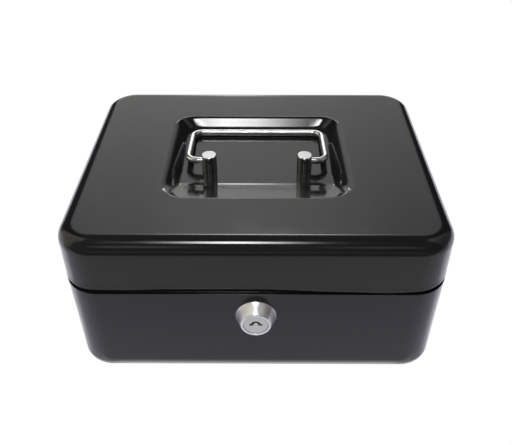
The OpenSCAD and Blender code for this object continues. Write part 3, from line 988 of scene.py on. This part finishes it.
@dataclass
class LockHead(Piece):
    """The cam lock's housing: a conical head in front of a threaded barrel."""

    finish = CHROME_HEAD
    body = Body.BASE
    nodes = ("lock_housing",)

    base: float = 21.5
    face: float = 16.0
    height: float = 6.8
    barrel: float = 16.0
    barrel_length: float = 13.6
    bore: float = 11.76
    mouth: float = 13.16
    mouth_depth: float = 3.38
    pitch: float = 1.25
    thread_depth: float = 0.45
    thread_steps: int = 6
    thread_chamfer: float = 1.0
    thread_start: float = 0.4
    thread_end: float = 0.9
    thread_trim: float = 1.6
    face_round: float = 0.5
    slant_start: float = 0.3
    slant_loss: float = 0.9
    slant_shares: tuple[float, ...] = (0.12, 0.4, 0.7, 0.9)
    steps: int = 96

    def __post_init__(self) -> None:
        """Finds the lock's axis and the wall's face in the frame."""
        low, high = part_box("lock_housing")
        centre = (low + high) / 2
        wall = Vector((centre.x, low.y + self.height * MM, centre.z))
        self.stand = Matrix.Translation(wall) @ Matrix.Rotation(math.radians(90), 4, "X")

    def _section(self) -> list[tuple[float, float, bool]]:
        """Draws the closed section.

        Returns:
            (radius, height, threaded) points.
        """
        bore, mouth = self.bore / 2, self.mouth / 2
        back, front = -self.barrel_length, self.height
        barrel, base, face = self.barrel / 2, self.base / 2, self.face / 2
        sill = front - self.mouth_depth
        count = int((self.barrel_length - self.thread_trim) / self.pitch * self.thread_steps)
        pitch = self.pitch / self.thread_steps
        slant = (base - face) / (front - self.face_round)
        heights = [self.slant_start + share * (front - self.slant_loss) for share in self.slant_shares]
        rear = [(bore + 0.3, back), (barrel - self.thread_chamfer, back)]
        thread = [(barrel, back + self.thread_start + k * pitch) for k in range(count + 1)]
        head = [
            (barrel, -self.thread_end), (barrel, -0.1), (barrel + 0.2, 0.0),
            (base - 0.35, 0.0), (base - 0.1, 0.06), (base - 0.02, self.slant_start),
            *((base - slant * height, height) for height in heights),
            *arc((face - 0.62, front - self.face_round), self.face_round, 20, 90, 5),
            (face - 0.85, front), (mouth + 0.2, front), (mouth + 0.04, front - 0.02),
            (mouth, front - 0.1), (mouth, sill + 0.1), (mouth - 0.05, sill),
            (bore + 0.1, sill), (bore, sill - 0.1), (bore, back + 0.3),
        ]
        runs = ((rear, False), (thread, True), (head, False))
        return [(*point, threaded) for points, threaded in runs for point in points]

    def build(self) -> bpy.types.Object:
        """Builds the housing.

        Returns:
            The housing as one closed piece.
        """
        rings = []
        for radius, height, threaded in self._section():
            ring = []
            for i in range(self.steps):
                phase = (height / self.pitch - i / self.steps) % 1.0
                reach = radius - self.thread_depth * abs(2 * phase - 1) * threaded
                turn = math.tau * (i / self.steps)
                point = Vector((reach * math.cos(turn), reach * math.sin(turn), height))
                ring.append(self.stand @ (point * MM))
            rings.append(ring)
        return bridged("lock_head", rings, closed=True)


# ---- handle


@dataclass
class HandlePost(Piece):
    """One post of the handle: a turned rivet whose head holds the bail's wire end."""

    finish = CHROME_TURNED
    body = Body.LID

    side: int
    diameter: float = 8.4
    height: float = 9.9
    top_round: float = 0.55
    shank: float = 5.0
    washer: float = 0.8
    peen: float = 7.0
    peen_height: float = 0.8
    wire_play: float = 0.08
    hole_start: float = 0.7
    hole_steps: int = 40
    pivot: float = 6.0
    wall_shares: Triple = (0.3, 0.6, 0.85)
    steps: int = 64

    def __post_init__(self) -> None:
        """Names the piece after its side."""
        self.hand = "left" if self.side < 0 else "right"
        self.nodes = (f"handle_post_{self.hand}",)

    def build(self) -> bpy.types.Object:
        """Builds the post with its blind hole.

        Returns:
            The post as one closed piece.
        """
        low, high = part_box(self.nodes[0])
        centre = (low + high) / 2
        seat = Vector((centre.x, centre.y, high.z - self.height * MM))
        radius, under = self.diameter / 2, -(SHEET + self.washer)
        core = radius - self.top_round
        profile = [
            (self.peen / 2 * math.sin(t), under - self.peen_height * math.cos(t))
            for t in (math.radians(15 * k) for k in range(1, 7))
        ]
        profile += [(self.shank / 2, under + 0.02), (self.shank / 2, -0.02)]
        profile += [(radius - 0.1, 0.0), (radius, 0.12)]
        profile += [(radius, self.height * share) for share in self.wall_shares]
        profile += arc((core, self.height - self.top_round), self.top_round, 0, 90, 6)
        profile += [(core - 0.3, self.height), (radius * 0.4, self.height)]
        post = lathe(f"post_{self.hand}", profile, self.steps, Matrix.Translation(seat))
        bore = WIRE / 2 + self.wire_play
        stand = Matrix.Translation(seat + Vector((0, 0, self.pivot * MM)))
        stand = stand @ Matrix.Rotation(math.radians(90 * self.side), 4, "Y")
        hole = [(bore, -self.hole_start), (bore, self.diameter)]
        carve(post, lathe("wire_hole", hole, self.hole_steps, stand))
        return post


@dataclass
class BailHandle(Piece):
    """The bail: one bent wire whose ends turn in the posts."""

    finish = CHROME_WIRE
    body = Body.BAIL
    nodes = ("bail_handle",)

    leg: float = 39.3
    reach: float = 37.3
    bend: float = 6.0
    end: float = 26.7
    drop: float = 3.8
    pivot: Triple = (0.0, -6.9, 90.0)
    end_round: float = 0.5
    bend_flat: float = 0.05
    straight: float = 3.0
    steps: int = 28
    bend_steps: int = 12

    def _half(self) -> list[Triple]:
        """Draws the right half of the wire's path.

        Returns:
            (x, reach, tangent angle in degrees) points, from the wire's end to its middle.
        """
        bend, inner, far = self.bend, self.leg - self.bend, self.reach - self.bend
        path = [(self.end + self.end_round, 0.0, 0.0), (self.end + self.straight, 0.0, 0.0)]
        turns = [90 * k / self.bend_steps for k in range(self.bend_steps + 1)]
        for start, y in ((0, bend), (90, far)):
            for turn in turns:
                t = math.radians(start + turn)
                path.append((inner + bend * math.sin(t), y - bend * math.cos(t), start + turn))
        return path

    def _end_cap(self) -> list[Pair]:
        """Returns the wire end's rounding as (distance from the end, loss of radius) points."""
        turns = [math.radians(a) for a in (0, 30, 60)]
        return [(self.end_round * (1 - math.cos(t)), self.end_round * (1 - math.sin(t))) for t in turns]

    def build(self) -> bpy.types.Object:
        """Builds the wire.

        Returns:
            The bail as one closed piece.
        """
        radius = WIRE / 2
        cap = [(self.end + inset, 0.0, 0.0, 1 - loss / radius) for inset, loss in self._end_cap()]
        right = cap + [(x, y, turn, 1.0) for x, y, turn in self._half()]
        left = [(-x, y, 360 - turn, size) for x, y, turn, size in reversed(right)]
        tilt = math.asin(self.drop / self.reach)
        stand = Matrix.Translation(Vector(self.pivot) * MM) @ Matrix.Rotation(-tilt, 4, "X")
        rings = []
        for x, y, turn, size in right + left:
            t = math.radians(turn)
            normal = Vector((math.sin(t), -math.cos(t), 0))
            bent = self.bend_flat * abs(math.sin(2 * t))
            ring = []
            for i in range(self.steps):
                a = math.tau * i / self.steps
                offset = normal * (math.cos(a) * radius * size * (1 - bent))
                offset += Vector((0, 0, math.sin(a) * radius * size))
                ring.append(stand @ ((Vector((x, y, 0)) + offset) * MM))
            rings.append(ring)
        return bridged("bail_wire", rings)


# ---- carried-over nodes


@dataclass(frozen=True)
class Carried:
    """Frame nodes that keep their shape and get softened edges and a finish."""

    finish: Finish
    edge: float
    names: tuple[str, ...]

    def dress(self) -> None:
        """Softens the nodes' edges and gives them their finish."""
        for name in self.names:
            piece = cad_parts[name]
            piece.data.materials.clear()
            piece.data.materials.append(self.finish.material())
            smooth(piece)
            if self.edge:
                soften(piece, self.edge)
            log.info("%s: kept from the frame, %s", name, self.finish.label)


CARRIED = (
    Carried(ENAMEL, 0.2, (
        "hinge_base_leaf_left", "hinge_base_leaf_right", "hinge_lid_leaf_left", "hinge_lid_leaf_right",
    )),
    Carried(ENAMEL, 0.1, ("hinge_base_rivets", "hinge_lid_rivets")),
    Carried(ZINC, 0.12, ("hinge_pin_left", "hinge_pin_right")),
    Carried(ZINC, 0.1, ("lock_washer",)),
    Carried(ZINC, 0.3, ("lock_nut",)),
    Carried(NICKEL, 0.0, ("lock_plug",)),
    Carried(BRASS, 0.0, ("lock_wafers", "wafer_springs")),
    Carried(ZINC, 0.15, ("lock_cam",)),
    Carried(ZINC, 0.1, ("cam_washer",)),
    Carried(CHROME_WIRE, 0.12, ("cam_screw",)),
    Carried(ZINC, 0.2, ("lock_keeper",)),
    Carried(ZINC, 0.1, ("post_washer_left", "post_washer_right")),
    Carried(PLASTIC, 0.5, ("coin_tray",)),
)


# ---- studio


@dataclass(frozen=True)
class Glow:
    """A far, soft source of light: a band of the arch overhead that fades to its left and right."""

    radiance: float
    arch: Pair
    soft: float
    middle: float
    spread: float

    def level(self, rise: Value, across: Value) -> Value:
        """Returns the source's light at degrees along the arch and a sideways part of the direction."""
        return rise.band(*self.arch, self.soft) * across.bell(self.middle, self.spread) * self.radiance


@dataclass
class Studio:
    """White table, camera and light."""

    aim: Triple = (1.93, 0.0, 39.2)
    azimuth: float = 0.26
    elevation: float = 39.18
    distance: float = 373.77
    lens: float = 41.70
    shift: Pair = (-0.0085, -0.0005)
    sensor: float = 36.0
    nearest: float = 0.01
    table_size: float = 4.0
    table_thickness: float = 0.01
    table_gap: float = 0.0002
    peak: float = 5.0
    rear_corners: Triple = (0.04, 0.04, 0.04)
    front_room: Triple = (0.2, 0.2, 0.17)
    front_turn: Pair = (100.0, 120.0)
    flank_turn: Pair = (62.0, 112.0)
    flank_soft: float = 6.0
    slant: float = 0.6
    side_edge: Pair = (0.27, 0.44)
    edge_start: Pair = (0.05, 0.25)
    edge_rise: Pair = (20.0, 40.0)
    edge_loss: float = 0.28
    under: float = 0.15
    under_edge: Pair = (-0.06, -0.01)
    lamps: tuple[Glow, ...] = (
        Glow(28.0, (104.5, 118.5), 2.0, -0.049, 0.055),
        Glow(11.0, (18.5, 23.0), 1.8, -0.04, 0.045),
        Glow(11.5, (43.4, 47.6), 1.5, 0.0, 0.11),
        Glow(0.9, (138.0, 150.0), 4.0, -0.22, 0.06),
        Glow(0.55, (138.0, 150.0), 4.0, 0.2, 0.06),
    )
    overhead: Stops = (
        (0, (1.0, 1.0, 0.98)), (12, (1.02, 1.02, 1.0)), (28, (1.05, 1.04, 1.02)),
        (37, (1.2, 1.19, 1.19)), (42, (1.1, 1.09, 1.09)), (50, (0.35, 0.35, 0.35)),
        (60, (0.14, 0.14, 0.14)), (94, (0.12, 0.12, 0.12)), (130, (0.16, 0.16, 0.15)),
        (180, (0.18, 0.18, 0.16)),
    )
    sideways: Stops = (
        (-1.0, (0.75, 0.73, 0.66)), (-0.9, (0.68, 0.65, 0.57)), (-0.78, (0.78, 0.75, 0.63)),
        (-0.6, (0.88, 0.85, 0.75)), (-0.42, (1.05, 1.05, 1.0)), (0.42, (1.1, 1.12, 1.12)),
        (0.58, (1.2, 1.15, 1.17)), (0.7, (1.0, 0.94, 0.96)), (0.78, (0.78, 0.73, 0.74)),
        (0.94, (0.66, 0.62, 0.63)), (1.0, (0.7, 0.68, 0.7)),
    )

    def camera(self) -> None:
        """Makes the camera."""
        data = bpy.data.cameras.new("camera")
        data.lens = self.lens
        data.sensor_width = self.sensor
        data.sensor_fit = "HORIZONTAL"
        data.shift_x, data.shift_y = self.shift
        data.clip_start = self.nearest
        camera = bpy.data.objects.new("camera", data)
        a, e = math.radians(self.azimuth), math.radians(self.elevation)
        back = Vector((math.sin(a) * math.cos(e), -math.cos(a) * math.cos(e), math.sin(e)))
        right = Vector((0, 0, 1)).cross(back).normalized()
        up = back.cross(right)
        place = (Vector(self.aim) + back * self.distance) * MM
        camera.matrix_world = Matrix.Translation(place) @ Matrix((right, up, back)).transposed().to_4x4()
        bpy.context.scene.collection.objects.link(camera)
        bpy.context.scene.camera = camera

    def table(self) -> None:
        """Makes the white table top that the box stands on."""
        half, drop = self.table_size / 2, -self.table_gap
        ring = [Vector((x * half, y * half, drop)) for x, y in ((-1, -1), (1, -1), (1, 1), (-1, 1))]
        below = [point - Vector((0, 0, self.table_thickness)) for point in ring]
        top = bridged("table", [below, ring])
        top.data.materials.append(PAPER.material())

    def _scaled(self, colour: Sequence[float]) -> Triple:
        """Returns a light's colour as a share of the peak."""
        red, green, blue = (part / self.peak for part in colour)
        return (red, green, blue)

    def _gradient(self, graph: Graph, table: Stops, place: Value) -> Value:
        """Adds a colour ramp from a table.

        Args:
            graph: the surroundings' graph.
            table: places, in order, and the light's colour at each.
            place: a place, in the table's units.

        Returns:
            The light at that place.
        """
        first, last = table[0][0], table[-1][0]
        stops = [((at - first) / (last - first), self._scaled(colour)) for at, colour in table]
        return graph.gradient(stops, (place - first) / (last - first))

    def _room(self, graph: Graph, x: Value, y: Value, rise: Value) -> Value:
        """Adds the room's light: overhead, on the flanks and at the corners.

        Args:
            graph: the surroundings' graph.
            x: sideways part of the direction.
            y: part of the direction to the rear.
            rise: degrees over the rear horizon, along the arch.

        Returns:
            The light in that direction.
        """
        turn = x.size().atan2(y) * (180 / math.pi)
        middle = self._gradient(graph, self.overhead, rise)
        flanks = self._gradient(graph, self.sideways, x)
        rear, front = opaque(self._scaled(self.rear_corners)), opaque(self._scaled(self.front_room))
        ends = graph.mix(turn.ramp(*self.front_turn), rear, front)
        sides = graph.mix(turn.band(*self.flank_turn, self.flank_soft), ends, flanks)
        return graph.mix(x.size().ramp(*self.side_edge), middle, sides)

    def surroundings(self) -> None:
        """Lights the scene: a pale backdrop, soft lamps overhead, a dark ceiling and a dim room."""
        world = bpy.data.worlds.new("studio")
        bpy.context.scene.world = world
        world.use_nodes = True
        graph = Graph(world.node_tree)
        x, y, z = graph.parts(graph.node("ShaderNodeTexCoord", output="Generated"))
        rise = z.atan2(y) * (180 / math.pi)
        room = self._room(graph, x, y, rise)
        hidden = 1 - graph.node("ShaderNodeLightPath", output="Is Camera Ray")
        lamps: Value | float = 0.0
        for lamp in self.lamps:
            lamps = lamp.level(rise, x) + lamps
        edge = x.size().ramp(*self.edge_start) * rise.ramp(*self.edge_rise) * self.edge_loss
        above = self.under + z.ramp(*self.under_edge) * (1 - self.under)
        strength = self.peak * (1 - x * self.slant) * (1 - edge) * above
        backdrop = graph.node("ShaderNodeBackground", None, {
            "Color": graph.mix(hidden, grey(1.0), room),
            "Strength": 1 + hidden * (strength - 1),
        })
        glow = graph.node("ShaderNodeBackground", None, {"Color": grey(1.0), "Strength": lamps * hidden})
        both = graph.node("ShaderNodeAddShader", None, {0: backdrop, 1: glow})
        graph.node("ShaderNodeOutputWorld", None, {"Surface": both})

    def build(self) -> None:
        """Makes the camera, the table and the surroundings."""
        self.camera()
        self.table()
        self.surroundings()
        bpy.context.scene.view_settings.view_transform = "Standard"
        log.info("studio ready")


def main() -> None:
    """Builds the cash box's pieces in order, then the studio."""
    logging.basicConfig(level=logging.INFO, format="%(name)s: %(message)s", force=True)
    pieces = (PressedLid(), FoldedBase(), LockHead(), HandlePost(-1), HandlePost(1), BailHandle())
    for part in (*pieces, *CARRIED):
        part.dress()
    Studio().build()


if __name__ == "__main__":
    main()
